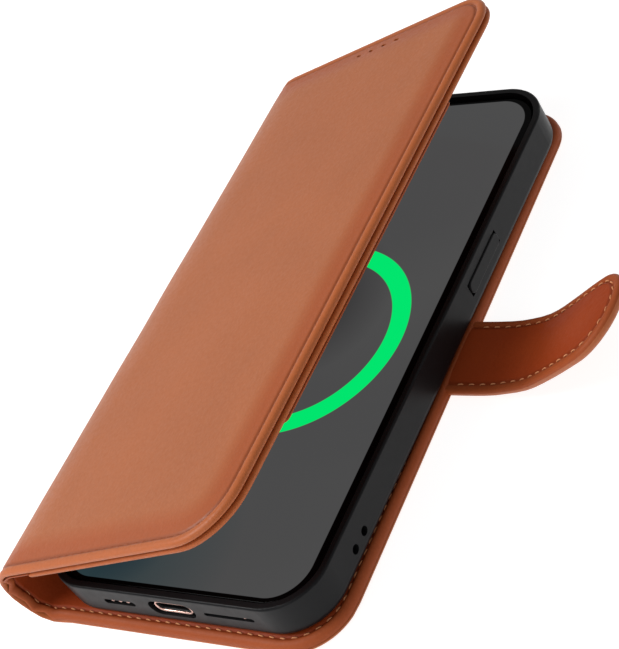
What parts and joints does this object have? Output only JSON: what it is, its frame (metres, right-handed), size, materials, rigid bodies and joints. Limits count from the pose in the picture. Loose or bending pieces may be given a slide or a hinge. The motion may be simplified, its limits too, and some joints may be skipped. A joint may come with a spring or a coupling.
{
  "type": "phone wallet case",
  "caption": "Folding leather phone wallet case with a soft inner shell, card pockets, an arched spine and a magnetic strap, holding a phone.",
  "frame": {"origin": "on the outer face of the back cover, under the middle of the phone", "axes": "+X towards the strap, +Y towards the top of the phone, +Z out of the phone's screen"},
  "size_m": [0.1289, 0.1578, 0.0422],
  "materials": {
    "leather_outer": "smooth pressed tan leather",
    "leather_inner": "smooth reddish brown lining leather",
    "thread": "light tan waxed thread",
    "board": "grey fibreboard stiffener",
    "soft_shell": "black soft polyurethane, satin",
    "adhesive": "thin foam tape",
    "magnet": "nickel-plated magnets",
    "steel_plate": "thin steel disc",
    "phone_metal": "satin anodised metal",
    "phone_back": "dark satin back",
    "screen_glass": "black bordered glass",
    "display": "lit screen, grey with a plain green ring",
    "lens_glass": "coated lens glass",
    "flash_lens": "pale yellow lens",
    "socket_metal": "rose metal rim",
    "socket_plastic": "black plastic tongue"
  },
  "bodies": {
    "case_back": {"back_leather": "leather_outer", "back_board": "board", "back_lining": "leather_inner", "back_stitching": "thread", "shell_adhesive": "adhesive", "phone_shell": "soft_shell", "magnet_ring": "magnet", "strap_root": "leather_inner", "phone_frame": "phone_metal", "phone_back_glass": "phone_back", "phone_front_glass": "screen_glass", "phone_display": "display", "camera_plate": "phone_back", "camera_lens_rings": "phone_metal", "camera_lens_glasses": "lens_glass", "camera_flash": "flash_lens", "charging_socket": "socket_metal", "charging_socket_tongue": "socket_plastic"},
    "spine": {"spine_leather": "leather_outer", "spine_lining": "leather_inner"},
    "front_cover": {"front_leather": "leather_outer", "front_board": "board", "clasp_keeper": "steel_plate", "front_lining": "leather_inner", "card_pocket_1": "leather_inner", "card_pocket_2": "leather_inner", "card_pocket_3": "leather_inner", "front_stitching": "thread"},
    "strap_bridge": {"strap_bridge_leather": "leather_outer", "strap_bridge_lining": "leather_inner", "strap_bridge_stitching": "thread"},
    "strap_side": {"strap_side_leather": "leather_outer", "strap_side_lining": "leather_inner", "strap_side_stitching": "thread"},
    "strap_flap": {"strap_flap_leather": "leather_outer", "strap_flap_lining": "leather_inner", "strap_flap_stitching": "thread", "clasp_magnets": "magnet"},
    "power_button": {"power_button_pad": "soft_shell", "phone_power_button": "phone_metal"},
    "volume_up_button": {"volume_up_button_pad": "soft_shell", "phone_volume_up_button": "phone_metal"},
    "volume_down_button": {"volume_down_button_pad": "soft_shell", "phone_volume_down_button": "phone_metal"}
  },
  "joints": [
    {"name": "spine_fold", "type": "hinge", "parent": "case_back", "child": "spine", "pos_m": [-0.0413, 0, 0.0015], "axis": [0, -1, 0], "range_deg": [0, 180], "deforming": ["spine_leather", "spine_lining"]},
    {"name": "cover_fold", "type": "hinge", "parent": "spine", "child": "front_cover", "pos_m": [-0.03953, 0, 0.01976], "axis": [0, -1, 0], "range_deg": [-16.26, 163.74]},
    {"name": "strap_root_fold", "type": "hinge", "parent": "case_back", "child": "strap_bridge", "pos_m": [0.0429, 0.0004, 0.00172], "axis": [0, 1, 0], "range_deg": [-55, 12]},
    {"name": "strap_side_fold", "type": "hinge", "parent": "strap_bridge", "child": "strap_side", "pos_m": [0.0505, 0.0004, 0.0023], "axis": [0, 1, 0], "range_deg": [-25, 12]},
    {"name": "strap_flap_fold", "type": "hinge", "parent": "strap_side", "child": "strap_flap", "pos_m": [0.0645, 0.0004, 0.008], "axis": [0, 1, 0], "range_deg": [-60, 38]},
    {"name": "power_press", "type": "slide", "parent": "case_back", "child": "power_button", "axis": [-1, 0, 0], "range_m": [0, 0.0002], "stiffness_N_per_m": 4000},
    {"name": "volume_up_press", "type": "slide", "parent": "case_back", "child": "volume_up_button", "axis": [1, 0, 0], "range_m": [0, 0.0002], "stiffness_N_per_m": 4000},
    {"name": "volume_down_press", "type": "slide", "parent": "case_back", "child": "volume_down_button", "axis": [1, 0, 0], "range_m": [0, 0.0002], "stiffness_N_per_m": 4000}
  ]
}
